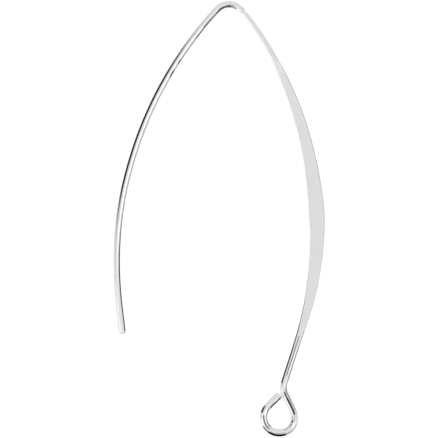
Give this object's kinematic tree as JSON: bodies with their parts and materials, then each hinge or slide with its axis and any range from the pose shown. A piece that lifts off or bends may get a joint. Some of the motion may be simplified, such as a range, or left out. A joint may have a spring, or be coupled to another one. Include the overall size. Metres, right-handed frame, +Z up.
{
  "type": "ear wire",
  "caption": "Marquise ear wire bent from round wire: open almond outline, rounded tip, tight crown, flattened blade on the front limb and a closed eye at its foot.",
  "frame": {"origin": "middle of the outline, on the surface the wire lies on", "axes": "+Y from the eye to the crown, +X from the back limb to the front limb with the blade, +Z up from the surface"},
  "size_m": [0.0222, 0.0456, 0.0007],
  "materials": {
    "polished_silver": "polished silver wire, the pressed blade flat and bright with faint lengthwise burnishing lines"
  },
  "bodies": {
    "root": {"ear_wire": "polished_silver"}
  },
  "joints": []
}
